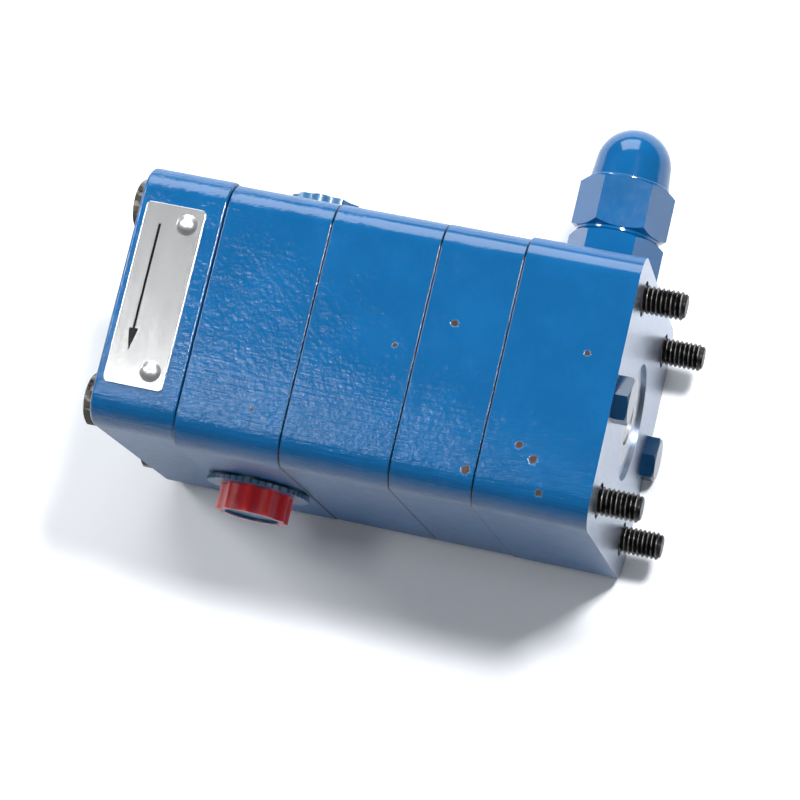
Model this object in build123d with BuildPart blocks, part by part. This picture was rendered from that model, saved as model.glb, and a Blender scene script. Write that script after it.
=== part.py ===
from build123d import *
import os
from math import acos, atan2, cos, pi, radians, sin, sqrt, tan

# A spur gear pump made of five stacked plates, lying on one broad side, with its two ports plugged.
# +X runs along the stack towards the machined mounting end, +Y towards the relief valve, and +Z up.
# The origin is the middle of the flat side that the pump lies on. Lengths are in millimetres.

# The stack, from the end cover to the valve head
cover_thickness = 29.6
port_thickness = 36.0
front_gear_thickness = 37.0
rear_gear_thickness = 27.7
head_thickness = 37.9

# The section of the stack, and how much wider and further along Y each plate is than the end cover
body_width = 89.0
body_height = 117.0
corner_radius = 10.0
port_wider, port_shift = 1.0, -1.3
front_gear_wider, front_gear_shift = 0.9, -1.1
rear_gear_wider, rear_gear_shift = 1.0, -1.0
head_wider, head_shift = 2.2, -0.7
end_bevel = 1.4
joint_bevel = 1.4
edge_break = 0.6

# The four through bolts, set in from the sides and from the top and bottom
bolt_diameter = 9.525
bolt_from_side = 10.5
bolt_from_top = 20.5
bolt_clearance = 1.2
bolt_stick_out = 14.2
bolt_end_chamfer = 1.0
bolt_head_flats = 15.9
bolt_head_height = 6.0


# The two screws in the mounting end, set in from the top and bottom
face_screw_diameter = 7.94
face_screw_length = 22.0
face_screw_from_top = 9.0
face_screw_offset = -2.5
face_screw_head_flats = 14.3
face_screw_head_height = 5.0

# The pilot recess of the mounting end, and the shaft and seal at its bottom
pilot_diameter = 40.0
pilot_depth = 1.5
seal_diameter = 30.0
seal_width = 6.0
shaft_diameter = 15.875
shaft_length = 30.0
shaft_setback = 0.5
shaft_chamfer = 1.0
shaft_clearance = 0.15
tang_slot_width = 4.8
tang_slot_depth = 5.0

# The ports and their plugs
port_bore_diameter = 23.8
plug_stem_length = 11.0
plug_flange_diameter = 36.0
plug_flange_thickness = 1.4
plug_collar_diameter = 33.0
plug_collar_thickness = 0.9
plug_flange_teeth = 42
plug_tooth_depth = 0.9
plug_grip_diameter = 25.2
plug_grip_length = 9.0
plug_grip_flutes = 10
plug_flute_radius = 3.2
plug_flute_depth = 1.2
plug_dish_diameter = 19.0
plug_dish_depth = 1.0

# The relief valve
adapter_flats = 28.6
adapter_length = 16.1
adapter_stem_diameter = 22.0
adapter_stem_length = 14.0
adapter_nose_diameter = 17.0
adapter_nose_length = 12.0
ring_diameter = 29.0
ring_thickness = 1.2
cap_flats = 28.6
cap_length = 17.8
cap_turn = 7.0
hex_turned_share = 0.98
hex_turned_angle = 30.0
dome_diameter = 28.0
dome_rise = 19.9
dome_crown_radius = 13.1
dome_crown_cuts = 4

# The name plate and its rivets
name_plate_width = 20.5
name_plate_margin = 3.5
name_plate_thickness = 0.8
name_plate_corner = 1.5
name_plate_from_end = 3.0
rivet_from_plate_end = 5.9
rivet_from_plate_edge = 5.4
rivet_head_diameter = 7.2
rivet_head_height = 1.9
rivet_head_taper = 0.9
rivet_shank_diameter = 3.0
rivet_shank_length = 6.0

# The small gap all round between a turned piece and the hole that it sits in
fit = 0.05

# Where the plates start along X, and the middles that other pieces line up with
gear_section = front_gear_thickness + rear_gear_thickness
stack_length = cover_thickness + port_thickness + gear_section + head_thickness
cover_x = -stack_length / 2
port_x = cover_x + cover_thickness
front_gear_x = port_x + port_thickness
rear_gear_x = front_gear_x + front_gear_thickness
head_x = rear_gear_x + rear_gear_thickness
face_x = head_x + head_thickness
mid_z = body_height / 2
port_mid_x = port_x + port_thickness / 2
valve_x = head_x + head_thickness / 2
valve_y = head_shift + (body_width + head_wider) / 2
bolt_hole_radius = bolt_diameter / 2 + bolt_clearance
bolt_y_out = body_width / 2 - bolt_from_side
bolt_z_out = body_height / 2 - bolt_from_top
bolt_places = [
    (bolt_y_out, mid_z + bolt_z_out),
    (-bolt_y_out, mid_z + bolt_z_out),
    (bolt_y_out, mid_z - bolt_z_out),
    (-bolt_y_out, mid_z - bolt_z_out),
]
face_screw_places = [
    (face_screw_offset, body_height - face_screw_from_top),
    (face_screw_offset, face_screw_from_top),
]
name_plate_length = body_width - 2 * (corner_radius + name_plate_margin)
rivet_x = cover_x + name_plate_from_end + name_plate_width - rivet_from_plate_edge
rivet_y_out = name_plate_length / 2 - rivet_from_plate_end

os.makedirs("parts", exist_ok=True)


def plate_block(x, thickness, wider, shift):
    # One cast plate, standing on the common resting plane, with broken edges and the four bolt holes
    with BuildPart() as block:
        with BuildSketch(Plane.YZ.offset(x)):
            with Locations((shift, mid_z)):
                RectangleRounded(body_width + wider, body_height, corner_radius)
        extrude(amount=thickness)
        chamfer(block.edges().filter_by(Plane.YZ), edge_break)
        with BuildSketch(Plane.YZ.offset(x)):
            with Locations(*bolt_places):
                Circle(bolt_hole_radius)
        extrude(amount=thickness, mode=Mode.SUBTRACT)
    return block.part


# The end cover: its outer end is bevelled, and its joint edge carries the wide bevel that reads as a groove
with BuildPart() as end_cover:
    with BuildSketch(Plane.YZ.offset(cover_x)):
        with Locations((0, mid_z)):
            RectangleRounded(body_width, body_height, corner_radius)
    extrude(amount=cover_thickness)
    rims = end_cover.edges().filter_by(Plane.YZ).group_by(Axis.X)
    chamfer(rims[0], end_bevel)
    chamfer(rims[-1], joint_bevel)
    with BuildSketch(Plane.YZ.offset(cover_x)):
        with Locations(*bolt_places):
            Circle(bolt_hole_radius)
    extrude(amount=cover_thickness, mode=Mode.SUBTRACT)
    # Blind holes for the name plate's rivets
    with BuildSketch(Plane.XY.offset(body_height)):
        with Locations((rivet_x, rivet_y_out), (rivet_x, -rivet_y_out)):
            Circle(rivet_shank_diameter / 2 + fit)
    extrude(amount=name_plate_thickness - rivet_shank_length, mode=Mode.SUBTRACT)

# The port housing: one port in the middle of each side
port_block = plate_block(port_x, port_thickness, port_wider, port_shift)
far_port_plane = Plane(
    (port_mid_x, port_shift + (body_width + port_wider) / 2, mid_z), x_dir=(-1, 0, 0), z_dir=(0, 1, 0)
)
near_port_plane = Plane(
    (port_mid_x, port_shift - (body_width + port_wider) / 2, mid_z), x_dir=(1, 0, 0), z_dir=(0, -1, 0)
)
with BuildPart() as port_housing:
    add(port_block)
    with BuildSketch(far_port_plane, near_port_plane):
        Circle(port_bore_diameter / 2)
    extrude(amount=-plug_stem_length, mode=Mode.SUBTRACT)

# The two gear housings
front_gear_block = plate_block(front_gear_x, front_gear_thickness, front_gear_wider, front_gear_shift)
with BuildPart() as front_gear_housing:
    add(front_gear_block)

rear_gear_block = plate_block(rear_gear_x, rear_gear_thickness, rear_gear_wider, rear_gear_shift)
with BuildPart() as rear_gear_housing:
    add(rear_gear_block)

# The valve head: pilot recess, seal seat and shaft bore in its machined end, and the relief valve's hole
head_block = plate_block(head_x, head_thickness, head_wider, head_shift)
valve_plane = Plane((valve_x, valve_y, mid_z), x_dir=(-1, 0, 0), z_dir=(0, 1, 0))
with BuildPart() as valve_head:
    add(head_block)
    with BuildSketch(Plane.YZ.offset(face_x)):
        with Locations((0, mid_z)):
            Circle(pilot_diameter / 2)
    extrude(amount=-pilot_depth, mode=Mode.SUBTRACT)
    with BuildSketch(Plane.YZ.offset(face_x - pilot_depth)):
        with Locations((0, mid_z)):
            Circle(seal_diameter / 2 + fit)
    extrude(amount=-seal_width, mode=Mode.SUBTRACT)
    with BuildSketch(Plane.YZ.offset(face_x - pilot_depth - seal_width)):
        with Locations((0, mid_z)):
            Circle(shaft_diameter / 2 + shaft_clearance)
    extrude(amount=seal_width - shaft_length - shaft_setback, mode=Mode.SUBTRACT)
    with BuildSketch(Plane.YZ.offset(face_x)):
        with Locations(*face_screw_places):
            Circle(face_screw_diameter / 2 + fit)
    extrude(amount=-face_screw_length, mode=Mode.SUBTRACT)
    with BuildSketch(valve_plane):
        Circle(adapter_stem_diameter / 2 + fit)
    extrude(amount=-adapter_stem_length, mode=Mode.SUBTRACT)

# The through bolts: heads against the end cover, threaded ends standing out of the mounting end
through_bolts = []
for bolt_y, bolt_z in bolt_places:
    bolt_plane = Plane((cover_x, bolt_y, bolt_z), x_dir=(0, 1, 0), z_dir=(-1, 0, 0))
    with BuildPart() as through_bolt:
        with BuildSketch(Plane.YZ.offset(cover_x)):
            with Locations((bolt_y, bolt_z)):
                Circle(bolt_diameter / 2)
        extrude(amount=stack_length + bolt_stick_out)
        chamfer(through_bolt.edges().sort_by(Axis.X)[-1], bolt_end_chamfer)
        with BuildSketch(bolt_plane):
            RegularPolygon(bolt_head_flats / 2, 6, major_radius=False)
        extrude(amount=bolt_head_height)
    through_bolts.append(through_bolt)

# The two screws of the mounting end, above and below the pilot recess, each with a corner upwards
face_screws = []
for screw_y, screw_z in face_screw_places:
    screw_plane = Plane((face_x, screw_y, screw_z), x_dir=(0, 0, 1), z_dir=(1, 0, 0))
    with BuildPart() as face_screw:
        with BuildSketch(Plane.YZ.offset(face_x)):
            with Locations((screw_y, screw_z)):
                Circle(face_screw_diameter / 2)
        extrude(amount=-face_screw_length)
        with BuildSketch(screw_plane):
            RegularPolygon(face_screw_head_flats / 2, 6, major_radius=False)
        extrude(amount=face_screw_head_height)
    face_screws.append(face_screw)

# The end of the drive shaft, set back below the pilot recess and slotted for a tang
shaft_end_x = face_x - pilot_depth - shaft_setback
with BuildPart() as drive_shaft:
    with BuildSketch(Plane.YZ.offset(shaft_end_x)):
        with Locations((0, mid_z)):
            Circle(shaft_diameter / 2)
    extrude(amount=-shaft_length)
    chamfer(drive_shaft.edges().sort_by(Axis.X)[-1], shaft_chamfer)
    with BuildSketch(Plane.YZ.offset(shaft_end_x)):
        with Locations((0, mid_z)):
            Rectangle(2 * shaft_diameter, tang_slot_width)
    extrude(amount=-tang_slot_depth, mode=Mode.SUBTRACT)

# The shaft seal: a ring round the shaft, flush with the bottom of the recess
with BuildPart() as shaft_seal:
    with BuildSketch(Plane.YZ.offset(face_x - pilot_depth)):
        with Locations((0, mid_z)):
            Circle(seal_diameter / 2)
            Circle(shaft_diameter / 2 + shaft_clearance, mode=Mode.SUBTRACT)
    extrude(amount=-seal_width)

# The port plugs: a stem in the port, a collar, a serrated flange, and a fluted grip with a dished end
flute_centres = plug_grip_diameter / 2 + plug_flute_radius - plug_flute_depth
plugs = []
for port_plane in (near_port_plane, far_port_plane):
    with BuildPart() as plug:
        with BuildSketch(port_plane):
            Circle(port_bore_diameter / 2 - fit)
        extrude(amount=-plug_stem_length)
        with BuildSketch(port_plane):
            Circle(plug_collar_diameter / 2)
        extrude(amount=plug_collar_thickness)
        with BuildSketch(port_plane.offset(plug_collar_thickness)):
            Circle(plug_flange_diameter / 2)
            with PolarLocations(plug_flange_diameter / 2, plug_flange_teeth):
                RegularPolygon(plug_tooth_depth, 4, mode=Mode.SUBTRACT)
        extrude(amount=plug_flange_thickness)
        with BuildSketch(port_plane.offset(plug_collar_thickness + plug_flange_thickness)):
            Circle(plug_grip_diameter / 2)
            with PolarLocations(flute_centres, plug_grip_flutes):
                Circle(plug_flute_radius, mode=Mode.SUBTRACT)
        extrude(amount=plug_grip_length)
        with BuildSketch(port_plane.offset(plug_collar_thickness + plug_flange_thickness + plug_grip_length)):
            Circle(plug_dish_diameter / 2)
        extrude(amount=-plug_dish_depth, mode=Mode.SUBTRACT)
    plugs.append(plug)

# The relief valve: an adapter screwed into the valve head, a ring, and a domed cap over the adapter's nose.
# The corners of both hexagons are turned down to a cone, on the cap at both ends.
adapter_corner = adapter_flats / sqrt(3)
adapter_run = adapter_corner - hex_turned_share * adapter_flats / 2
adapter_drop = adapter_run * tan(radians(hex_turned_angle))
with BuildPart() as valve_adapter:
    with BuildSketch(valve_plane):
        RegularPolygon(adapter_flats / 2, 6, major_radius=False)
    extrude(amount=adapter_length)
    with BuildSketch(Plane(valve_plane.origin, x_dir=valve_plane.x_dir, z_dir=-valve_plane.y_dir)):
        with BuildLine():
            Polyline(
                (0, 0),
                (adapter_corner, 0),
                (adapter_corner, adapter_length - adapter_drop),
                (adapter_corner - adapter_run, adapter_length),
                (0, adapter_length),
                close=True,
            )
        make_face()
    revolve(axis=Axis(valve_plane.origin, valve_plane.z_dir), mode=Mode.INTERSECT)
    with BuildSketch(valve_plane):
        Circle(adapter_stem_diameter / 2)
    extrude(amount=-adapter_stem_length)
    with BuildSketch(valve_plane.offset(adapter_length)):
        Circle(adapter_nose_diameter / 2)
    extrude(amount=adapter_nose_length)

with BuildPart() as valve_ring:
    with BuildSketch(valve_plane.offset(adapter_length)):
        Circle(ring_diameter / 2)
        Circle(adapter_nose_diameter / 2 + fit, mode=Mode.SUBTRACT)
    extrude(amount=ring_thickness)

cap_plane = valve_plane.offset(adapter_length + ring_thickness)
cap_corner = cap_flats / sqrt(3)
cap_run = cap_corner - hex_turned_share * cap_flats / 2
cap_drop = cap_run * tan(radians(hex_turned_angle))
cap_top = cap_plane.offset(cap_length).origin
with BuildPart() as valve_cap:
    with BuildSketch(cap_plane):
        RegularPolygon(cap_flats / 2, 6, major_radius=False, rotation=cap_turn)
    extrude(amount=cap_length)
    with BuildSketch(Plane(cap_plane.origin, x_dir=cap_plane.x_dir, z_dir=-cap_plane.y_dir)):
        with BuildLine():
            Polyline(
                (0, 0),
                (cap_corner - cap_run, 0),
                (cap_corner, cap_drop),
                (cap_corner, cap_length - cap_drop),
                (cap_corner - cap_run, cap_length),
                (0, cap_length),
                close=True,
            )
        make_face()
    revolve(axis=Axis(cap_plane.origin, cap_plane.z_dir), mode=Mode.INTERSECT)
    # The dome leans in along a cone that runs smoothly into its round crown, which is turned in straight cuts
    crown_centre = dome_rise - dome_crown_radius
    dome_reach = sqrt(dome_diameter**2 / 4 + crown_centre**2)
    crown_start = acos(dome_crown_radius / dome_reach) - atan2(crown_centre, dome_diameter / 2)
    crown_step = (pi / 2 - crown_start) / dome_crown_cuts
    dome_outline = [(0, 0), (dome_diameter / 2, 0)]
    for cut in range(dome_crown_cuts):
        angle = crown_start + crown_step * cut
        dome_outline.append((dome_crown_radius * cos(angle), crown_centre + dome_crown_radius * sin(angle)))
    with BuildSketch(Plane(cap_top, x_dir=cap_plane.x_dir, z_dir=-cap_plane.y_dir)):
        with BuildLine():
            Polyline(*dome_outline, (0, dome_rise), close=True)
        make_face()
    revolve(axis=Axis(cap_plane.origin, cap_plane.z_dir))
    with BuildSketch(cap_plane):
        Circle(adapter_nose_diameter / 2 + fit)
    extrude(amount=adapter_nose_length - ring_thickness, mode=Mode.SUBTRACT)

# The name plate, flat on the end cover, and its two rivets
with BuildPart() as name_plate:
    with BuildSketch(Plane.XY.offset(body_height)):
        with Locations((cover_x + name_plate_from_end + name_plate_width / 2, 0)):
            RectangleRounded(name_plate_width, name_plate_length, name_plate_corner)
        with Locations((rivet_x, rivet_y_out), (rivet_x, -rivet_y_out)):
            Circle(rivet_shank_diameter / 2 + fit, mode=Mode.SUBTRACT)
    extrude(amount=name_plate_thickness)

rivets = []
for rivet_y in (rivet_y_out, -rivet_y_out):
    rivet_plane = Plane((rivet_x, rivet_y, body_height + name_plate_thickness))
    with BuildPart() as rivet:
        with BuildSketch(rivet_plane):
            Circle(rivet_shank_diameter / 2)
        extrude(amount=-rivet_shank_length)
        with BuildSketch(rivet_plane):
            Circle(rivet_head_diameter / 2)
        extrude(amount=rivet_head_height)
        chamfer(rivet.edges().sort_by(Axis.Z)[-1], rivet_head_taper)
    rivets.append(rivet)

pieces = {
    "end_cover": end_cover,
    "port_housing": port_housing,
    "front_gear_housing": front_gear_housing,
    "rear_gear_housing": rear_gear_housing,
    "valve_head": valve_head,
    "through_bolt_1": through_bolts[0],
    "through_bolt_2": through_bolts[1],
    "through_bolt_3": through_bolts[2],
    "through_bolt_4": through_bolts[3],
    "face_screw_upper": face_screws[0],
    "face_screw_lower": face_screws[1],
    "drive_shaft": drive_shaft,
    "shaft_seal": shaft_seal,
    "near_plug": plugs[0],
    "far_plug": plugs[1],
    "valve_adapter": valve_adapter,
    "valve_ring": valve_ring,
    "valve_cap": valve_cap,
    "name_plate": name_plate,
    "name_plate_rivet_1": rivets[0],
    "name_plate_rivet_2": rivets[1],
}
for name, piece in pieces.items():
    piece.part.label = name
    export_step(piece.part, f"parts/{name}.step")
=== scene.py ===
# %% [markdown]
# # A gear pump of stacked plates
# The pump is five cast plates held by four long bolts, with a relief valve on its far side.
# Its solids come from the CAD model, in metres, and this script dresses them: it makes the painted
# castings, the threads, the valve and the plugs as finer meshes and gives everything its finish.
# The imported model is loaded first, because each new piece takes its place from a CAD node's box.

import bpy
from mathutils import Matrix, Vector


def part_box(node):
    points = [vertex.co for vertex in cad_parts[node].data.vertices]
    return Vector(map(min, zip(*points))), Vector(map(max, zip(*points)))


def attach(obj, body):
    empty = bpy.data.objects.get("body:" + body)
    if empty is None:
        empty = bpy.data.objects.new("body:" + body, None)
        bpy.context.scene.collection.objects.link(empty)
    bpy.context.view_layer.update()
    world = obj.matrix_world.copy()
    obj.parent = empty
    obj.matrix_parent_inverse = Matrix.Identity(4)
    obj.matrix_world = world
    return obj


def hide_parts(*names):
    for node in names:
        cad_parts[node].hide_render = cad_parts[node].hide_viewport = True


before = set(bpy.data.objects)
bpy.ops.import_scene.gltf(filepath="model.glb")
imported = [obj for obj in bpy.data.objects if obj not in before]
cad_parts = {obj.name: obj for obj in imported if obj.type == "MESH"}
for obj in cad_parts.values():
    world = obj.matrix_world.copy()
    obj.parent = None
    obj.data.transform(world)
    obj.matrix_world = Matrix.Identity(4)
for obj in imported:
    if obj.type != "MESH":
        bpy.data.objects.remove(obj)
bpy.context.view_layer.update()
print("CAD nodes:", len(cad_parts))

# %% Blender's modules, and the unit
from math import atan2, cos, degrees, pi, radians, sin, sqrt, tan

import bmesh
import bpy
from mathutils import Matrix, Vector

MM = 0.001
scene = bpy.context.scene
scene.view_settings.view_transform = "Standard"
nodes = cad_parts
print("one millimetre is", MM)

# %% [markdown]
# ## The camera
# The photograph was taken from high above the corner between the mounting end and the near side, with
# the camera rolled. A camera's matrix is four columns: its right, its up, the way back from what it
# looks at, and its place. Building them from three angles and a distance keeps the view easy to adjust,
# where Euler angles would hide which turn does what.

# %% The camera
azimuth, elevation, roll = radians(-38.79), radians(74.59), radians(-38.9)
distance, shift_right, shift_up = 1060 * MM, -3.37 * MM, -4.1 * MM
toward_camera = Vector((cos(elevation) * cos(azimuth), cos(elevation) * sin(azimuth), sin(elevation)))
level_right = Vector((-sin(azimuth), cos(azimuth), 0))
level_up = toward_camera.cross(level_right)
right = cos(roll) * level_right + sin(roll) * level_up
up = cos(roll) * level_up - sin(roll) * level_right
target = Vector((2.9, 0, 40)) * MM
place = target + distance * toward_camera + shift_right * right + shift_up * up
camera_data = bpy.data.cameras.new("camera")
camera_data.lens = 137.4
camera_data.clip_start = 0.05
camera = bpy.data.objects.new("camera", camera_data)
camera.matrix_world = Matrix(
    [(right[i], up[i], toward_camera[i], place[i]) for i in range(3)] + [(0, 0, 0, 1)]
)
scene.collection.objects.link(camera)
scene.camera = camera
print("camera at", [round(c, 3) for c in place])

# %% [markdown]
# ## How finishes are written
# A node material is a sum written with boxes and wires. It is easier to read and to change as plain
# arithmetic, so a small class wraps a socket: adding or multiplying two wires adds the Math node, and
# one method makes every other kind of node.

# %% The wire
class Wire:
    """One output of a node, on which + - * / and ** add Math nodes."""

    def __init__(self, finish, socket):
        self.finish = finish
        self.socket = socket

    def __add__(self, other):
        return self.finish.math("ADD", self, other)

    def __sub__(self, other):
        return self.finish.math("SUBTRACT", self, other)

    def __rsub__(self, other):
        return self.finish.math("SUBTRACT", other, self)

    def __mul__(self, other):
        return self.finish.math("MULTIPLY", self, other)

    def __truediv__(self, other):
        return self.finish.math("DIVIDE", self, other)

    def __pow__(self, other):
        return self.finish.math("POWER", self, other)

    __radd__ = __add__
    __rmul__ = __mul__


print("a wire adds its own Math nodes")

# %% The finish
class Finish:
    """A material, with its shader's constants set at once and its nodes added by expressions."""

    def __init__(self, name, **constants):
        self.material = bpy.data.materials.new(name)
        self.material.use_nodes = True
        self.tree = self.material.node_tree
        self.shader = self.tree.nodes["Principled BSDF"]
        self.set(**constants)
        self.place = self.node("ShaderNodeTexCoord", output="Object")

    def node(self, kind, settings=None, inputs=None, output=0):
        node = self.tree.nodes.new(kind)
        for name, value in (settings or {}).items():
            setattr(node, name, value)
        for key, value in (inputs or {}).items():
            self.feed(node.inputs[key], value)
        return Wire(self, node.outputs[output])

    def feed(self, socket, value):
        if isinstance(value, Wire):
            self.tree.links.new(value.socket, socket)
        else:
            socket.default_value = value

    def set(self, **inputs):
        """Sets or links the shader's inputs, whose names are written with _ for a space."""
        for socket, value in inputs.items():
            self.feed(self.shader.inputs[socket.replace("_", " ")], value)

    def math(self, operation, *values):
        return self.node("ShaderNodeMath", {"operation": operation}, dict(enumerate(values)))

    def mix(self, low, high, share):
        """The colour low where the share is 0, and high where it is 1."""
        settings = {"data_type": "RGBA", "clamp_factor": True}
        return self.node("ShaderNodeMix", settings, {0: share, 6: low, 7: high}, 2)

    def rise(self, value, start, end):
        """0 below start, 1 above end, and a smooth step between them."""
        settings = {"interpolation_type": "SMOOTHSTEP"}
        return self.node("ShaderNodeMapRange", settings, {0: value, 1: start, 2: end})

    def stretched(self, scale):
        """Object coordinates that are drawn out along each axis whose scale is below 1."""
        return self.node("ShaderNodeMapping", {"vector_type": "POINT"}, {0: self.place, 3: scale})

    def noise(self, size, detail=2.0, roughness=0.5, vector=None):
        """Noise from 0 to 1, with features of about this size in millimetres."""
        inputs = {"Vector": vector or self.place, "Scale": 1 / (size * MM)}
        return self.node("ShaderNodeTexNoise", None, inputs | {"Detail": detail, "Roughness": roughness})

    def axis(self, name):
        return self.node("ShaderNodeSeparateXYZ", inputs={0: self.place}, output=name)

    def spot(self, centre, radius, wobble=None):
        """1 within a radius of a point, both in millimetres, with an edge that a noise can disturb."""
        gap = self.node(
            "ShaderNodeVectorMath", {"operation": "DISTANCE"}, {0: self.place, 1: Vector(centre) * MM}, 1
        )
        if wobble:
            gap = gap + (wobble - 0.5) * (radius * 1.2 * MM)
        return 1 - self.rise(gap, radius * 0.8 * MM, radius * 1.1 * MM)

    def bump(self, height, depth):
        """Bumps of a depth in millimetres where the height goes from 0 to 1."""
        inputs = {"Strength": 1.0, "Distance": depth * MM, "Height": height}
        self.set(Normal=self.node("ShaderNodeBump", None, inputs))


print("finishes are written as expressions")

# %% [markdown]
# ## Blue enamel on rough castings
# The plates are sand castings with a sprayed coat of gloss enamel. The coat is thin, so the casting's
# small bumps and the long marks of its dressing show as broken streaks in the reflections. The bumps are
# three noises of different sizes, one of them stretched along the stack. They are bumps and not real
# relief, because they are a few tenths of a millimetre high at most and never show in the outline. The
# castings are rougher towards the end cover and the near side, and the broad face falls away a little
# towards its near edge, which widens the bright band there.

# %% Blue enamel
DEEP_BLUE = (0.001, 0.08, 0.225, 1)
PALE_BLUE = (0.002, 0.093, 0.26, 1)


def enamel(name, gloss):
    """The blue paint: its noises, its colour and its roughness, for each use to set."""
    finish = Finish(name)
    finish.fine = finish.noise(1.6, 3, 0.6)
    finish.grain = finish.noise(4.5, 3, 0.6)
    cloud = finish.noise(14, 3) + 0.3 * finish.fine
    finish.colour = finish.mix(DEEP_BLUE, PALE_BLUE, finish.rise(cloud, 0.5, 0.95))
    finish.roughness = gloss + 0.08 * finish.grain
    return finish


cast_enamel = enamel("blue_enamel", 0.1)
along, aside = cast_enamel.axis("X"), cast_enamel.axis("Y")
print("the first enamel has", len(cast_enamel.tree.nodes), "nodes")

# %% The relief of the casting, in millimetres
drawn = cast_enamel.noise(1.5, 4, 0.65, cast_enamel.stretched((0.05, 1, 1)))
patches = cast_enamel.noise(18, 3) - along / (250 * MM) - aside / (220 * MM)
rough_part = cast_enamel.rise(patches, 0.1, 0.75)
near_part = cast_enamel.rise(0 - aside, 0.0, 34 * MM)
side_part = cast_enamel.rise(cast_enamel.math("ABSOLUTE", aside), 40 * MM, 44 * MM)
peel = (0.01 + 0.15 * rough_part) * (cast_enamel.fine + 1.2 * cast_enamel.grain)
streaks = (0.005 + 0.3 * near_part * (1 - side_part)) * drawn
crown = 2.2 * cast_enamel.math("MAXIMUM", aside / (-44 * MM), 0.0) ** 4
cast_height = peel + streaks - crown
cast_enamel.set(Roughness=cast_enamel.roughness + 0.25 * side_part)
print("with its relief it has", len(cast_enamel.tree.nodes))

# %% [markdown]
# ## Chips and joints
# Where the enamel is knocked off, a brown speck of rusty iron shows in a pale ring. Each chip is a round
# mask at a place on the top face, and a noise roughens its edge. The plates meet in thin dark lines.
# These are masks across the stack at the plates' own ends, so that they stay on the joints when a plate
# changes its thickness. An image would need its own layout for every plate, and a mask in the object's
# own coordinates needs none.

# %% Chips in the enamel
chips = [
    (28.8, 10.1, 1.0), (73.1, 8.7, 0.9), (58.1, -24.8, 1.1), (63.5, -28.4, 1.3),
    (67.5, -38.6, 1.2), (43.0, -36.0, 1.3), (11.3, -0.7, 0.8), (-30.0, -30.5, 0.7),
]
top_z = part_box("front_gear_housing")[1].z
edge_noise = cast_enamel.noise(1.2, 2)
chipped, ringed = 0.0, 0.0
for chip_x, chip_y, chip_size in chips:
    centre = (chip_x, chip_y, top_z / MM)
    chipped = cast_enamel.spot(centre, chip_size, edge_noise) + chipped
    ringed = cast_enamel.spot(centre, chip_size * 1.35, edge_noise) + ringed
print("chips:", len(chips))

# %% Dark lines at the joints
after_a_joint = ("port_housing", "front_gear_housing", "rear_gear_housing", "valve_head")
joint_lines = 0.0
for node in after_a_joint:
    gap = cast_enamel.math("ABSOLUTE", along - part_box(node)[0].x)
    joint_lines = 1 - cast_enamel.rise(gap, 0.2 * MM, 0.55 * MM) + joint_lines
paint = cast_enamel.mix(cast_enamel.colour, (0.07, 0.16, 0.28, 1), ringed * 0.5)
paint = cast_enamel.mix(paint, (0.07, 0.035, 0.018, 1), chipped)
paint = cast_enamel.mix(paint, (0.0, 0.018, 0.045, 1), joint_lines)
cast_enamel.set(Base_Color=paint)
cast_enamel.bump(cast_height - 0.08 * cast_enamel.math("MINIMUM", ringed, 1.0), 1.0)
print("joints:", len(after_a_joint))

# %% [markdown]
# ## Bare metals
# The mounting end is milled iron, left bare: grey metal with a soft reflection. The shaft end is ground
# steel. Milling leaves lines, and a line is a noise that is stretched a long way in one direction. The
# same could be painted as an image, but noises never show their pixels when the camera comes close.

# %% Milled iron and ground steel
milled_iron = Finish("milled_iron", Metallic=1.0)
mill_lines = milled_iron.noise(0.8, 3, 0.6, milled_iron.stretched((1, 1, 0.05)))
mill_stain = milled_iron.noise(22, 3)
milled_iron.set(
    Base_Color=milled_iron.mix((0.24, 0.29, 0.37, 1), (0.38, 0.43, 0.52, 1), mill_stain),
    Roughness=0.2 + 0.16 * mill_lines + 0.1 * mill_stain,
)
milled_iron.bump(mill_lines, 0.004)

ground_steel = Finish("bare_steel", Metallic=1.0)
ground_steel.set(
    Base_Color=ground_steel.mix((0.35, 0.36, 0.38, 1), (0.6, 0.61, 0.63, 1), ground_steel.noise(3, 3)),
    Roughness=0.25 + 0.2 * ground_steel.noise(1, 3),
)
print("milled iron has", len(milled_iron.tree.nodes), "nodes")

# %% [markdown]
# ## Black bolts with rubbed threads
# The bolts have a black oxide skin that is a little brown on the heads. Handling rubs it off the crests
# of the threads, and their paler colour is also a painted highlight, for the light that the crests catch.
# A crest is where a point is furthest from its bolt's axis, so the distance from the axis makes the
# mask. All four axes are mirror images about the middle of the end face, so the absolute values of the
# coordinates serve the four bolts with one mask, where vertex colours would need a layer on every bolt.

# %% Black oxide, and the steel of the heads
head_low, head_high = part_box("valve_head")
mid_z = (head_low.z + head_high.z) / 2
bolt_ends = [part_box(f"through_bolt_{number}") for number in (1, 2, 3, 4)]
bolt_axes = [((low.y + high.y) / 2, (low.z + high.z) / 2) for low, high in bolt_ends]

black_oxide = Finish("black_oxide", Metallic=0.75)
rubbed = black_oxide.noise(2.5, 3, 0.6)
worn = black_oxide.rise(rubbed, 0.45, 0.8)
skin = black_oxide.mix((0.006, 0.006, 0.007, 1), (0.05, 0.048, 0.045, 1), worn)
bolt_aside = black_oxide.math("ABSOLUTE", black_oxide.axis("Y")) - abs(bolt_axes[0][0])
bolt_over = black_oxide.math("ABSOLUTE", black_oxide.axis("Z") - mid_z) - abs(bolt_axes[0][1] - mid_z)
from_axis = (bolt_aside**2 + bolt_over**2) ** 0.5
# Paler crests: rubbed oxide, and a painted highlight for the light that the crests catch
crest_wear_and_highlight = black_oxide.rise(from_axis, 4.55 * MM, 4.75 * MM) * black_oxide.rise(rubbed, 0.35, 0.6)
black_oxide.set(
    Base_Color=black_oxide.mix(skin, (0.22, 0.21, 0.2, 1), crest_wear_and_highlight),
    Roughness=0.3 + 0.2 * rubbed,
)
black_oxide.bump(black_oxide.noise(0.5, 2), 0.01)

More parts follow.
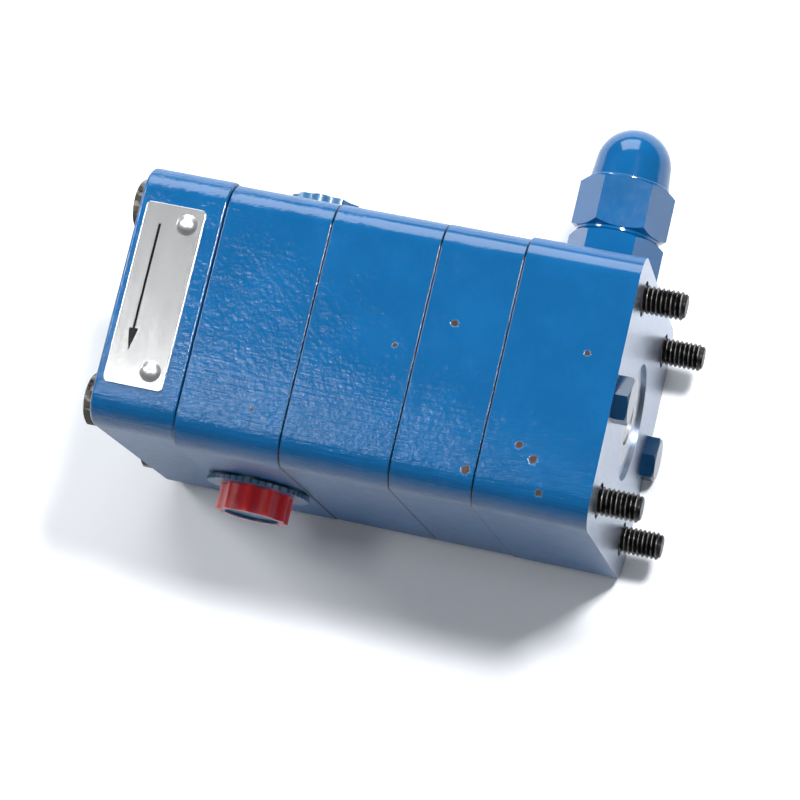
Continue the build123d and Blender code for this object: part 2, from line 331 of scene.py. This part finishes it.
head_steel = Finish("head_steel", Metallic=0.7)
stain = head_steel.noise(3.5, 4, 0.65)
brown = head_steel.rise(stain, 0.4, 0.7)
head_steel.set(
    Base_Color=head_steel.mix((0.04, 0.036, 0.032, 1), (0.09, 0.072, 0.055, 1), brown),
    Roughness=0.4 + 0.25 * stain,
)
head_steel.bump(head_steel.noise(0.8, 3), 0.02)
print("bolt axes in mm:", [(round(y / MM, 1), round(z / MM, 1)) for y, z in bolt_axes])

# %% [markdown]
# ## How a mesh becomes a piece
# Every new mesh goes the same last steps: its faces are turned outwards, it is given smooth shading with
# sharp edges kept, and it takes over the place of its CAD node. A function does this once for all. It
# could be done by hand in edit mode, but then a change to one shape would mean doing it again.

# %% From mesh to piece
def finish_piece(name, bm, node, materials, sharp=32):
    bmesh.ops.recalc_face_normals(bm, faces=bm.faces)
    mesh = bpy.data.meshes.new(name)
    bm.to_mesh(mesh)
    bm.free()
    for material in materials:
        mesh.materials.append(material)
    mesh.shade_smooth()
    mesh.set_sharp_from_angle(angle=radians(sharp))
    piece = bpy.data.objects.new(name, mesh)
    scene.collection.objects.link(piece)
    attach(piece, "root")
    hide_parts(node)
    low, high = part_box(node)
    over = max(max(low[i] - v.co[i], v.co[i] - high[i]) for v in mesh.vertices for i in range(3))
    print(name, "faces", len(mesh.polygons), "stands out of its CAD box by", round(over / MM, 3), "mm")
    return piece


print("every piece takes the place of a CAD node")

# %% Helpers for meshes
def flatten_shading(piece):
    """Keeps the wide flat faces flat, so that only the roundings bend the light."""
    weighted = piece.modifiers.new("Weighted", "WEIGHTED_NORMAL")
    weighted.keep_sharp = True


def edges_at(bm, axis, value):
    return [e for e in bm.edges if all(abs(v.co[axis] - value) < 1e-7 for v in e.verts)]


def edges_round(verts):
    """The edges at these points, once each and always in the same order."""
    return list(dict.fromkeys(e for v in verts for e in v.link_edges))


def verts_of(geometry):
    return [g for g in geometry if isinstance(g, bmesh.types.BMVert)]


def edges_of(geometry):
    return [g for g in geometry if isinstance(g, bmesh.types.BMEdge)]


def faces_of(geometry):
    return [g for g in geometry if isinstance(g, bmesh.types.BMFace)]


print("points, edges and faces can be picked out of what an operator gives back")

# %% [markdown]
# ## The five plates
# Each plate is a block with wide rounded corners along the stack and a small rounding where it meets its
# neighbour. A cube whose edges are bevelled twice gives exactly that: first the four long edges, then
# the two rims. The rounding of a rim is real geometry, because the far one makes the bright line beside
# each joint. A Bevel modifier could do it too, but it bevels all edges by one width.

# %% A cast plate
CORNER = 10


def rounded(bm, edges, width, segments):
    """Rounds these edges by a width in millimetres."""
    bmesh.ops.bevel(
        bm, geom=edges, offset=width * MM, affect="EDGES", segments=segments, profile=0.5, material=-1
    )


def block(node):
    """A cube that fills the box of a CAD node."""
    low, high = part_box(node)
    bm = bmesh.new()
    bmesh.ops.create_cube(bm, size=1)
    bmesh.ops.scale(bm, vec=high - low, verts=bm.verts)
    bmesh.ops.translate(bm, vec=(high + low) / 2, verts=bm.verts)
    return bm


def plate_mesh(node, low_rim, high_rim):
    low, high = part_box(node)
    bm = block(node)
    long_edges = [e for e in bm.edges if abs(e.verts[0].co.x - e.verts[1].co.x) > 1e-6]
    rounded(bm, long_edges, CORNER, 14)
    for x, rim in ((low.x, low_rim), (high.x, high_rim)):
        if rim:
            rounded(bm, edges_at(bm, 0, x), rim, 3)
    return bm


print("corner radius:", CORNER, "mm")

# %% Four of the plates
for node, low_rim, high_rim in (
    ("end_cover", 1.4, 1.2),
    ("port_housing", 0.6, 0.5),
    ("front_gear_housing", 0.5, 0.5),
    ("rear_gear_housing", 0.5, 0.5),
):
    bm = plate_mesh(node, low_rim, high_rim)
    flatten_shading(finish_piece(node + "_casting", bm, node, [cast_enamel.material]))

# %% [markdown]
# ## The valve head and its bare mounting end
# The last plate is milled flat on its outer end, and through this end come the bolts, the pilot recess
# and the shaft. The end face is cut away from the block, the outlines of the holes are laid in its
# plane, and a fill between all the outlines makes a face with true holes. A boolean would do it too, but
# it leaves long thin triangles that spoil a reflection.

# %% The end face and the outlines of its holes
PILOT_RADIUS, PILOT_DEPTH = 20.0, 1.5
BOLT_HOLE_RADIUS, BOLT_HOLE_DEPTH = 5.9625, 12
holes = [(y, z, BOLT_HOLE_RADIUS, BOLT_HOLE_DEPTH) for y, z in bolt_axes]
holes += [(0.0, mid_z, PILOT_RADIUS, PILOT_DEPTH)]
face_turn = Matrix.Rotation(radians(90), 4, "Y")

head = plate_mesh("valve_head", 0.5, 0)
end_faces = [f for f in head.faces if all(abs(v.co.x - head_high.x) < 1e-7 for v in f.verts)]
bmesh.ops.delete(head, geom=end_faces, context="FACES_ONLY")
outlines = edges_at(head, 0, head_high.x)
walls = []
for hole_y, hole_z, radius, depth in holes:
    centre = Matrix.Translation((head_high.x, hole_y, hole_z))
    circle = bmesh.ops.create_circle(head, radius=radius * MM, segments=48, matrix=centre @ face_turn)
    edges = edges_round(circle["verts"])
    outlines += edges
    walls.append((edges, depth))
face = bmesh.ops.triangle_fill(head, edges=outlines, use_beauty=True, use_dissolve=False)
milled = set(faces_of(face["geom"]))
print("holes in the end face:", len(holes))

# %% The walls of the holes
SEAT_STEP, SEAT_DEPTH = 4.95, 6
for edges, depth in walls:
    wall = bmesh.ops.extrude_edge_only(head, edges=edges)["geom"]
    bmesh.ops.translate(head, vec=(-depth * MM, 0, 0), verts=verts_of(wall))
    bottom = bmesh.ops.holes_fill(head, edges=edges_of(wall), sides=0)["faces"]
    milled.update(faces_of(wall) + bottom)
    if depth == PILOT_DEPTH:
        # The seat of the seal goes on from the recess as a narrower hole
        for step, sink in ((SEAT_STEP, 0), (0.01, -SEAT_DEPTH)):
            inset = bmesh.ops.inset_individual(head, faces=bottom, thickness=step * MM, depth=sink * MM)
            milled.update(inset["faces"])
for f in milled:
    f.material_index = 1
materials = [cast_enamel.material, milled_iron.material]
flatten_shading(finish_piece("valve_head_casting", head, "valve_head", materials))

# %% [markdown]
# ## Turned hexagons
# Nuts and bolt heads are cut from hexagon bar in a lathe, which turns their corners down to a shallow
# cone. Where the cone meets the flats it leaves the curved edges that everybody knows. Here a hexagon
# outline with extra points along its sides is extruded, and each point of the rim sinks by how far it
# lies outside the turned circle. Cutting a bevel instead would chamfer all six sides evenly, which no
# real nut has.

# %% A turned hexagon
TURNED_SHARE, CONE_ANGLE = 0.98, 30


def turned_hexagon(bm, flats, height, turn=0.0, both_ends=False):
    """A hexagon bar along +Z from the origin, in millimetres, with a corner on +X before it is turned."""
    corner_first = Matrix.Rotation(radians(30 + turn), 4, "Z")
    circle = bmesh.ops.create_circle(bm, radius=flats / sqrt(3) * MM, segments=6, matrix=corner_first)
    bmesh.ops.subdivide_edges(bm, edges=edges_round(circle["verts"]), cuts=9)
    loose = [v for v in bm.verts if not v.link_faces]
    bottom = bmesh.ops.contextual_create(bm, geom=edges_round(loose))["faces"]
    raised = bmesh.ops.extrude_face_region(bm, geom=bottom, use_keep_orig=True)["geom"]
    top = faces_of(raised)[0]
    bmesh.ops.translate(bm, vec=(0, 0, height * MM), verts=top.verts)
    turned_radius = TURNED_SHARE * flats / 2 * MM
    ends = [(top, height, -1)]
    if both_ends:
        ends.append((bottom[0], 0, 1))
    for end, level, sink in ends:
        outer = list(end.verts)
        bmesh.ops.inset_individual(bm, faces=[end], thickness=0.5 * MM, use_even_offset=True)
        for v in end.verts:
            v.co.xy *= turned_radius / v.co.xy.length
        for v in outer:
            outside = max(0, v.co.xy.length - turned_radius)
            v.co.z = level * MM + sink * outside * tan(radians(CONE_ANGLE))
    return bm


print("corners are turned down to", TURNED_SHARE, "of the width across the flats")

# %% Standing a form on its place
def set_down(bm, origin, x_way, z_way):
    """Turns what was built along +Z from the origin so that it stands on a point, facing z_way."""
    x_way, z_way = Vector(x_way), Vector(z_way)
    y_way = z_way.cross(x_way)
    turn = Matrix([(x_way[i], y_way[i], z_way[i]) for i in range(3)]).to_4x4()
    bmesh.ops.transform(bm, matrix=Matrix.Translation(origin) @ turn, verts=bm.verts)


print("forms are built upright and then set down")

# %% [markdown]
# ## The through bolts
# A long bolt has a turned head at the end cover and a cut thread at the mounting end. The thread is the
# profile of one tooth, spun round the axis for as many turns as there are teeth while it moves along by
# one pitch each turn, which is just how a die cuts it. Then both ends of the spiral are cut off square.
# Rings without a slope are quicker, but side light shows that they never advance.

# %% Threads by spinning
BOLT_RADIUS, CORE_RADIUS, PITCH = 9.525 / 2, 3.9, 25.4 / 16


def thread(bm, start, end, steps=30):
    """An outside thread along +Z from start to end, in millimetres, as one closed shell."""
    tooth = [(CORE_RADIUS, 0), (BOLT_RADIUS, 0.42), (BOLT_RADIUS, 0.58), (CORE_RADIUS, 1)]
    verts = [bm.verts.new((r * MM, 0, (start + (share - 1) * PITCH) * MM)) for r, share in tooth]
    edges = [bm.edges.new(pair) for pair in zip(verts, verts[1:])]
    turns = int((end - start) / PITCH) + 3
    bmesh.ops.spin(
        bm, geom=verts + edges, cent=(0, 0, 0), axis=(0, 0, 1), dvec=(0, 0, PITCH * MM / steps),
        angle=2 * pi * turns, steps=steps * turns, use_merge=False,
    )
    bmesh.ops.remove_doubles(bm, verts=bm.verts, dist=1e-6)
    for level, way in ((start, -1), (end, 1)):
        bmesh.ops.bisect_plane(
            bm, geom=list(bm.verts) + list(bm.edges) + list(bm.faces), dist=1e-7,
            plane_co=(0, 0, level * MM), plane_no=(0, 0, way), clear_outer=True,
        )
    bmesh.ops.holes_fill(bm, edges=[e for e in bm.edges if e.is_boundary], sides=0)


print("thread pitch:", round(PITCH, 4), "mm")

# %% A plain rod
def rod(bm, start, end):
    """A plain rod of the core's radius along +Z from start to end, in millimetres."""
    middle = Matrix.Translation((0, 0, (start + end) / 2 * MM))
    bmesh.ops.create_cone(
        bm, cap_ends=True, segments=32, radius1=CORE_RADIUS * MM, radius2=CORE_RADIUS * MM,
        depth=(end - start) * MM, matrix=middle,
    )


print("core radius:", CORE_RADIUS, "mm")

# %% The head that the bolts share
HEAD_FLATS, HEAD_HEIGHT = 15.9, 6.0
head_bm = bmesh.new()
turned_hexagon(head_bm, HEAD_FLATS, HEAD_HEIGHT)
bmesh.ops.scale(head_bm, vec=(1, 1, -1), verts=head_bm.verts)
bmesh.ops.translate(head_bm, vec=(0, 0, HEAD_HEIGHT * MM), verts=head_bm.verts)
head_mesh = bpy.data.meshes.new("head")
head_bm.to_mesh(head_mesh)
head_bm.free()
print("faces of a head:", len(head_mesh.polygons))

# %% The four through bolts
THREADED, LEAD_IN = 22, 1.2
for number, ((low, high), (bolt_y, bolt_z)) in enumerate(zip(bolt_ends, bolt_axes), 1):
    length = (high.x - low.x) / MM
    bm = bmesh.new()
    thread(bm, length - THREADED, length)
    for v in bm.verts:
        # The thread runs out in a cone at the bolt's end
        allowed = BOLT_RADIUS * MM - max(0, v.co.z - (length - LEAD_IN) * MM)
        if v.co.xy.length > allowed:
            v.co.xy *= allowed / v.co.xy.length
    rod(bm, HEAD_HEIGHT - 1, length - THREADED + 1)
    shank_faces = len(bm.faces)
    bm.from_mesh(head_mesh)
    bm.faces.ensure_lookup_table()
    for f in bm.faces[shank_faces:]:
        f.material_index = 1
    set_down(bm, Vector((low.x, bolt_y, bolt_z)), (0, 1, 0), (1, 0, 0))
    node = f"through_bolt_{number}"
    materials = [black_oxide.material, head_steel.material]
    finish_piece(node + "_threaded", bm, node, materials, 40)
bpy.data.meshes.remove(head_mesh)

# %% [markdown]
# ## Smooth enamel, and the two face screws
# The screws in the mounting end were painted with the pump. Their flats are drawn bar, so the enamel on
# them is far smoother than on the castings. They could share the castings' finish, but its bumps would
# look like dents on such small faces, so the same helper makes one enamel for the valve and one for the
# screws. The screws' one is the same blue made darker, as painted shade on their flats.

# %% Smooth enamel
smooth_enamel = enamel("blue_enamel_steel", 0.08)
smooth_enamel.set(Base_Color=smooth_enamel.colour, Roughness=smooth_enamel.roughness)
smooth_enamel.bump(smooth_enamel.fine + smooth_enamel.grain, 0.02)
shaded_screw_enamel = enamel("shaded_screw_enamel", 0.1)
# The screws' blue is darker than the pump's paint: painted shade
shaded_screw_blue = shaded_screw_enamel.mix((0.001, 0.02, 0.055, 1), (0.001, 0.04, 0.11, 1), shaded_screw_enamel.grain)
shaded_screw_enamel.set(Base_Color=shaded_screw_blue, Roughness=shaded_screw_enamel.roughness)
shaded_screw_enamel.bump(shaded_screw_enamel.fine, 0.03)
print("enamels: smooth and dark")

# %% The face screws
SCREW_FLATS, SCREW_HEAD, SCREW_REACH = 14.3, 5.0, 20.9
for node in ("face_screw_upper", "face_screw_lower"):
    low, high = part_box(node)
    bm = bmesh.new()
    turned_hexagon(bm, SCREW_FLATS, SCREW_HEAD)
    rod(bm, -SCREW_REACH, 0.1)
    seat = Vector((head_high.x, (low.y + high.y) / 2, (low.z + high.z) / 2))
    set_down(bm, seat, (0, 0, 1), (1, 0, 0))
    finish_piece(node + "_turned", bm, node, [shaded_screw_enamel.material], 25)

# %% [markdown]
# ## The relief valve
# The adapter and the cap are turned hexagons, painted over. The cap's dome is a turned form, so it is a
# profile spun round the axis: a small lip, sides that lean in, and a round crown. Half of a sphere would
# be quicker, but its sides would stand straight up from the hexagon.

# %% Spinning a profile
def spun(bm, profile, steps=72):
    """A closed turned form along +Z, from a profile of (radius, height) in millimetres."""
    verts = [bm.verts.new((r * MM, 0, z * MM)) for r, z in profile]
    edges = [bm.edges.new(pair) for pair in zip(verts, verts[1:])]
    before = set(bm.verts) - set(verts)
    bmesh.ops.spin(
        bm, geom=verts + edges, cent=(0, 0, 0), axis=(0, 0, 1), angle=2 * pi, steps=steps, use_merge=True
    )
    bmesh.ops.remove_doubles(bm, verts=[v for v in bm.verts if v not in before], dist=1e-6)


def spun_rod(bm, radius, start, end):
    spun(bm, [(0, start), (radius, start), (radius, end), (0, end)])


def arc(centre_z, radius, start, end, parts):
    """Points of a profile on a circle round the axis, from one angle to another in degrees."""
    angles = [radians(start + (end - start) * i / parts) for i in range(parts + 1)]
    return [(radius * cos(a), centre_z + radius * sin(a)) for a in angles]


print("profiles are spun in 72 steps, and the small ones in fewer")

# %% The adapter and the ring
VALVE_WAYS = ((-1, 0, 0), (0, 1, 0))
VALVE_FLATS, STEM_RADIUS, STEM_LENGTH, NOSE_RADIUS, NOSE_LENGTH = 28.6, 10.9, 13.9, 8.4, 11.5
ring_low, ring_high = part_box("valve_ring")
valve_x = (ring_low.x + ring_high.x) / 2
seat_y = head_high.y
adapter_length = (ring_low.y - seat_y) / MM

bm = bmesh.new()
turned_hexagon(bm, VALVE_FLATS, adapter_length)
spun_rod(bm, STEM_RADIUS, -STEM_LENGTH, 0.2)
spun_rod(bm, NOSE_RADIUS, adapter_length - 0.2, adapter_length + NOSE_LENGTH)
set_down(bm, Vector((valve_x, seat_y, mid_z)), *VALVE_WAYS)
finish_piece("valve_adapter_turned", bm, "valve_adapter", [smooth_enamel.material], 25)

bm = bmesh.new()
spun(bm, [(8.6, 0), (14.2, 0), (14.45, 0.25), (14.45, 0.95), (14.2, 1.2), (8.6, 1.2), (8.6, 0)])
set_down(bm, Vector((valve_x, ring_low.y, mid_z)), *VALVE_WAYS)
finish_piece("valve_ring_turned", bm, "valve_ring", [smooth_enamel.material], 25)

# %% The domed cap
CAP_LENGTH, CAP_TURN, DOME_RISE, CROWN = 17.8, 7, 19.9, 13.1
lip = [(0, -0.6), (14.0, -0.6), (14.0, 0.3), (13.75, 0.6)]
crown_points = arc(DOME_RISE - CROWN, CROWN - 0.02, 6, 90, 22)[:-1]
dome = lip + crown_points + [(0, DOME_RISE - 0.02)]
bm = bmesh.new()
turned_hexagon(bm, VALVE_FLATS, CAP_LENGTH, turn=CAP_TURN, both_ends=True)
spun(bm, [(radius, CAP_LENGTH + height) for radius, height in dome])
set_down(bm, Vector((valve_x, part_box("valve_cap")[0].y, mid_z)), *VALVE_WAYS)
finish_piece("valve_cap_domed", bm, "valve_cap", [smooth_enamel.material], 25)

# %% [markdown]
# ## The plastic of the port plugs
# A plug is moulded plastic with a flange and a fluted grip. The near plug is red and was only partly
# covered when the pump was painted, and the far one is painted over. Both are one finish with other
# colours: a mask says where the paint lies, rings at a distance from the plug's axis paint lighter
# colours on the tips of the flutes and the teeth of the flange as painted highlights, and the collar
# under the flange is black with shade. The colours could be given face by face, but the edge of sprayed
# paint follows no face.

# %% Red and blue plastic
COLLAR, FLANGE, GRIP = 0.9, 1.4, 9.0
PAINTED, TEETH_HIGHLIGHT, SHADE = (0.02, 0.12, 0.24, 1), (0.10, 0.22, 0.34, 1), (0.002, 0.002, 0.003, 1)
near_low, near_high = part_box("near_plug")
plug_x, plug_z = (near_low.x + near_high.x) / 2, (near_low.z + near_high.z) / 2
port_near, port_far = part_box("port_housing")[0].y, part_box("port_housing")[1].y


def plug_plastic(name, bare, ridge_highlight, face_y, painted_share):
    """Plastic of a bare colour, with paint where painted_share gives 1, on the port face at face_y."""
    finish = Finish(name, Roughness=0.35, Coat_Weight=0.15, Coat_Roughness=0.1)
    cloud = finish.noise(5, 3, 0.6)
    colour = finish.mix(bare, PAINTED, painted_share(finish, cloud))
    from_axis = ((finish.axis("X") - plug_x) ** 2 + (finish.axis("Z") - plug_z) ** 2) ** 0.5
    # Lighter colours on the tips of the flutes and on the ring of the teeth are painted highlights
    past_flutes = finish.rise(from_axis, 11.9 * MM, 12.5 * MM)
    ridges = past_flutes * (1 - finish.rise(from_axis, 12.7 * MM, 12.9 * MM))
    colour = finish.mix(colour, ridge_highlight, 0.6 * ridges)
    colour = finish.mix(colour, TEETH_HIGHLIGHT, finish.rise(from_axis, 17.2 * MM, 17.7 * MM))
    out = finish.math("ABSOLUTE", finish.axis("Y")) - abs(face_y)
    past_collar = finish.rise(out, (COLLAR - 0.15) * MM, (COLLAR - 0.05) * MM)
    finish.set(Base_Color=finish.mix(SHADE, colour, past_collar))
    finish.bump(finish.noise(0.9, 2) + 0.6 * finish.noise(3, 2), 0.03)
    return finish


def near_paint(finish, cloud):
    """Paint on the flange, with a ragged edge, and in the dish of the grip."""
    flange = finish.rise(
        finish.axis("Y") + (cloud - 0.5) * (1 * MM), port_near - 2.7 * MM, port_near - 2.3 * MM
    )
    dish = finish.spot((plug_x / MM, near_low.y / MM, plug_z / MM), 11.2)
    return finish.math("MAXIMUM", flange, dish)


def far_paint(finish, cloud):
    return finish.rise(cloud, 0.4, 0.6)


# The second colour of each plug is a painted highlight for the tips of its flutes
RED, RED_RIDGE_HIGHLIGHT = (0.7, 0.01, 0.014, 1), (0.9, 0.03, 0.03, 1)
BLUE, BLUE_RIDGE_HIGHLIGHT = (0.003, 0.08, 0.22, 1), (0.02, 0.14, 0.3, 1)
red_plastic = plug_plastic("red_plastic", RED, RED_RIDGE_HIGHLIGHT, port_near, near_paint)
blue_plastic = plug_plastic("blue_plastic", BLUE, BLUE_RIDGE_HIGHLIGHT, port_far, far_paint)
print("the red plastic has", len(red_plastic.tree.nodes), "nodes")

# %% [markdown]
# ## The shape of the port plugs
# The flange has a serrated rim and the grip has flutes and a dished end. The serrations are a circle
# whose points are pushed in by a pattern of four, and the flutes are a wave in a circle's radius. Both
# outlines are closed faces that are extruded, which keeps the walls straight as the mould leaves them.
# Booleans could cut the 42 teeth one by one, but they are slower and can leave slivers.

# %% Discs with a waved outline
FLANGE_RADIUS, TEETH_COUNT, TOOTH = 18.0, 42, (0, 0.35, 0.85, 0.35)
GRIP_RADIUS, FLUTES, FLUTE_POINTS, FLUTE_DEPTH = 12.6, 10, 12, 1.2


def tooth_wave(i):
    return TOOTH[i % len(TOOTH)]


def flute_wave(i):
    return FLUTE_DEPTH * (0.5 - 0.5 * cos(2 * pi * i / FLUTE_POINTS)) ** 0.7


def waved_disc(bm, radius, points, wave, level, depth):
    """Extrudes a circle whose points are pushed in by a wave, and gives back its top face."""
    circle = bmesh.ops.create_circle(bm, cap_ends=True, radius=radius * MM, segments=points)["verts"]
    for i, v in enumerate(circle):
        v.co.xy *= (radius - wave(i)) / radius
        v.co.z = level * MM
    raised = bmesh.ops.extrude_face_region(bm, geom=[circle[0].link_faces[0]], use_keep_orig=True)["geom"]
    top = faces_of(raised)[0]
    bmesh.ops.translate(bm, vec=(0, 0, depth * MM), verts=top.verts)
    return top


print("teeth:", TEETH_COUNT, "flutes:", FLUTES)

# %% The two plugs
DISH_RADIUS, DISH_DEPTH = 9.5, 1


def plug_mesh():
    bm = bmesh.new()
    spun(bm, [(0, -10.9), (11.8, -10.9), (11.8, 0), (16.4, 0), (16.4, COLLAR + 0.2), (0, COLLAR + 0.2)])
    waved_disc(bm, FLANGE_RADIUS, TEETH_COUNT * len(TOOTH), tooth_wave, COLLAR, FLANGE)
    top = waved_disc(bm, GRIP_RADIUS, FLUTES * FLUTE_POINTS, flute_wave, COLLAR + FLANGE - 0.2, GRIP + 0.2)
    # The end face of the grip becomes a ring between its fluted outline and a round dish
    centre = Matrix.Translation((0, 0, top.verts[0].co.z))
    outer = list(top.edges)
    bmesh.ops.delete(bm, geom=[top], context="FACES_ONLY")
    dish = bmesh.ops.create_circle(bm, radius=DISH_RADIUS * MM, segments=60, matrix=centre)
    dish_edges = edges_round(dish["verts"])
    bmesh.ops.triangle_fill(bm, edges=outer + dish_edges, use_beauty=True, use_dissolve=False)
    wall = bmesh.ops.extrude_edge_only(bm, edges=dish_edges)["geom"]
    bmesh.ops.translate(bm, vec=(0, 0, -DISH_DEPTH * MM), verts=verts_of(wall))
    bmesh.ops.holes_fill(bm, edges=edges_of(wall), sides=0)
    return bm


for node, finish, slot, y_face, ways in (
    ("near_plug", red_plastic, "red_plastic", port_near, ((1, 0, 0), (0, -1, 0))),
    ("far_plug", blue_plastic, "blue_plastic", port_far, ((-1, 0, 0), (0, 1, 0))),
):
    low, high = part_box(node)
    bm = plug_mesh()
    set_down(bm, Vector(((low.x + high.x) / 2, y_face, (low.z + high.z) / 2)), *ways)
    finish_piece(node + "_moulded", bm, node, [finish.material], 30)

# %% [markdown]
# ## The name plate and its rivets
# The plate is a thin rectangle of brushed aluminium with round corners, held by two domed rivets. It is
# left bare, with one plain arrow. The arrow is a mask in the material, because ink has no thickness. A
# stroke is where the distance from the arrow's line is small, and the head is where that distance is
# less than a share of the way back from the tip.

# %% The arrow on the plate
plate_low, plate_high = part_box("name_plate")
aluminium = Finish("plate_aluminium")
plate_x, plate_y = aluminium.axis("X"), aluminium.axis("Y")
arrow_x = plate_low.x + 6.0 * MM
arrow_top, arrow_tip, barb, half_stroke = 24 * MM, -20 * MM, 8 * MM, 0.45 * MM


def less(first, second):
    """1 where the first is less than the second, and else 0."""
    return aluminium.math("LESS_THAN", first, second)


across = aluminium.math("ABSOLUTE", plate_x - arrow_x)
stroke = less(across, half_stroke) * less(plate_y, arrow_top) * less(arrow_tip + barb / 2, plate_y)
point = less(across, (plate_y - arrow_tip) * 0.2) * less(plate_y, arrow_tip + barb)
ink = aluminium.math("MAXIMUM", stroke, point) * less(arrow_tip, plate_y)
print("the arrow is", round((arrow_top - arrow_tip) / MM), "mm long")

# %% Brushed aluminium
brushing = aluminium.noise(0.5, 3, 0.6, aluminium.stretched((1, 0.03, 1)))
bright = aluminium.mix((0.74, 0.74, 0.745, 1), (0.9, 0.895, 0.89, 1), aluminium.noise(12, 2))
aluminium.set(
    Base_Color=aluminium.mix(bright, (0.008, 0.008, 0.01, 1), ink),
    Metallic=0.85 - 0.85 * ink,
    Roughness=0.14 + 0.08 * brushing,
)
aluminium.bump(brushing, 0.006)
rivet_metal = Finish("rivet_aluminium", Metallic=1.0)
rivet_metal.set(
    Base_Color=rivet_metal.mix((0.62, 0.62, 0.63, 1), (0.8, 0.8, 0.81, 1), rivet_metal.noise(2, 3)),
    Roughness=0.3 + 0.12 * rivet_metal.noise(1, 3),
)
print("the plate's finish has", len(aluminium.tree.nodes), "nodes")

# %% The plate
bm = block("name_plate")
upright = [e for e in bm.edges if abs(e.verts[0].co.z - e.verts[1].co.z) > 1e-6]
rounded(bm, upright, 1.5, 6)
rounded(bm, edges_at(bm, 2, plate_high.z), 0.2, 2)
flatten_shading(finish_piece("name_plate_sheet", bm, "name_plate", [aluminium.material]))

# %% The rivets
PIN_RADIUS, PIN_LENGTH = 1.5, 5.9
for number in (1, 2):
    node = f"name_plate_rivet_{number}"
    low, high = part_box(node)
    rise = (high.z - plate_high.z) / MM
    reach = (high.x - low.x) / 2 / MM
    ball = (reach**2 + rise**2) / (2 * rise)
    edge = 90 - 2 * degrees(atan2(rise, reach))
    pin = [(0, -PIN_LENGTH), (PIN_RADIUS, -PIN_LENGTH), (PIN_RADIUS, 0), (reach, 0)]
    bm = bmesh.new()
    spun(bm, pin + arc(rise - ball, ball, edge, 90, 10)[1:-1] + [(0, rise)], 48)
    seat = ((low.x + high.x) / 2, (low.y + high.y) / 2, plate_high.z)
    bmesh.ops.translate(bm, vec=seat, verts=bm.verts)
    finish_piece(node + "_domed", bm, node, [rivet_metal.material], 40)

# %% [markdown]
# ## The CAD nodes that stay
# The shaft end and its seal lie at the bottom of the pilot recess and are right as the CAD model has
# them. They could be made again as spun profiles, but so little of them shows that it would change
# nothing. They only need their finish, which goes into the material slots that they already have.

# %% Finishes for the shaft and the seal
for node in ("drive_shaft", "shaft_seal"):
    for slot in nodes[node].material_slots:
        slot.material = ground_steel.material
    print(node, "keeps its CAD mesh")

# %% [markdown]
# ## Floor and world
# The floor is white paper. Its brightness in the picture comes from its own material, which tells
# camera rays from the light that falls on the pump, and it keeps the pump's soft shadow. Stronger lamps
# would whiten the paper too, but they would bleach the enamel with it. The world is a faint, cool white,
# so that no side of the pump goes black.

# %% The floor
FLOOR_GAP = 0.2
bm = bmesh.new()
bmesh.ops.create_grid(bm, x_segments=1, y_segments=1, size=4)
bmesh.ops.translate(bm, vec=(0, 0, -FLOOR_GAP * MM), verts=bm.verts)
floor_mesh = bpy.data.meshes.new("floor")
bm.to_mesh(floor_mesh)
bm.free()
floor = bpy.data.objects.new("floor", floor_mesh)
scene.collection.objects.link(floor)
print("the floor lies", FLOOR_GAP, "mm under the pump")

# %% White paper
paper = Finish("paper", Roughness=0.9, Specular_IOR_Level=0.0)
rays = paper.node("ShaderNodeLightPath").socket.node.outputs
camera_ray, glossy_ray, transmission_ray = (
    Wire(paper, rays[f"Is {kind} Ray"]) for kind in ("Camera", "Glossy", "Transmission")
)
shown = paper.math("MAXIMUM", paper.math("MAXIMUM", camera_ray, glossy_ray), transmission_ray)
glow = paper.node("ShaderNodeEmission", inputs={"Color": (1, 1, 1, 1), "Strength": 1.0})
paper.set(Base_Color=paper.mix((0.7, 0.71, 0.73, 1), (0.93, 0.95, 0.98, 1), shown))
plain = Wire(paper, paper.shader.outputs[0])
blend = paper.node("ShaderNodeMixShader", inputs={0: shown * 0.03, 1: plain, 2: glow})
paper.feed(paper.tree.nodes["Material Output"].inputs["Surface"], blend)
floor_mesh.materials.append(paper.material)
print("the paper has", len(paper.tree.nodes), "nodes")

# %% The world
world = bpy.data.worlds.new("studio")
world.use_nodes = True
background = world.node_tree.nodes["Background"]
background.inputs["Color"].default_value = (0.9, 0.95, 1.0, 1)
background.inputs["Strength"].default_value = 0.18
scene.world = world
print("the world's strength is", round(background.inputs["Strength"].default_value, 2))

# %% [markdown]
# ## The lamps
# Four soft boxes light the pump. Two small ones, high on the right and on the left, cast the shadows.
# They stand where the flat faces and the valve don't mirror them towards the camera, because a mirrored
# lamp turns enamel white. A broad one on the far side draws the bright line along the far rounding, and
# a weak one overhead catches the ridges of the enamel. A single large box would be simpler, but it
# would blur the shadow and lie across the whole top face as a glare.

# %% The lamps
def soft_box(name, direction, distance, size, power):
    lamp = bpy.data.lights.new(name, "AREA")
    lamp.shape = "RECTANGLE"
    lamp.size, lamp.size_y = size
    lamp.energy = power
    box = bpy.data.objects.new(name, lamp)
    way = Vector(direction).normalized()
    box.matrix_world = Matrix.Translation(way * distance) @ way.to_track_quat("Z", "Y").to_matrix().to_4x4()
    scene.collection.objects.link(box)
    print(name, "at", [round(c, 2) for c in way * distance])


soft_box("right_box", (0.3, 0.27, 0.91), 1.8, (0.22, 0.24), 30)
soft_box("left_box", (-0.72, 0.25, 0.65), 1.8, (0.4, 0.4), 11)
soft_box("far_box", (-0.2, 0.85, 0.5), 1.6, (1.2, 1.0), 20)
soft_box("streak_box", (-0.33, -0.05, 0.94), 1.8, (0.4, 0.3), 5)

# %% [markdown]
# The last cell updates the view layer once more. The dressed model has to stay inside the CAD model's
# box.

# %% The last update
bpy.context.view_layer.update()
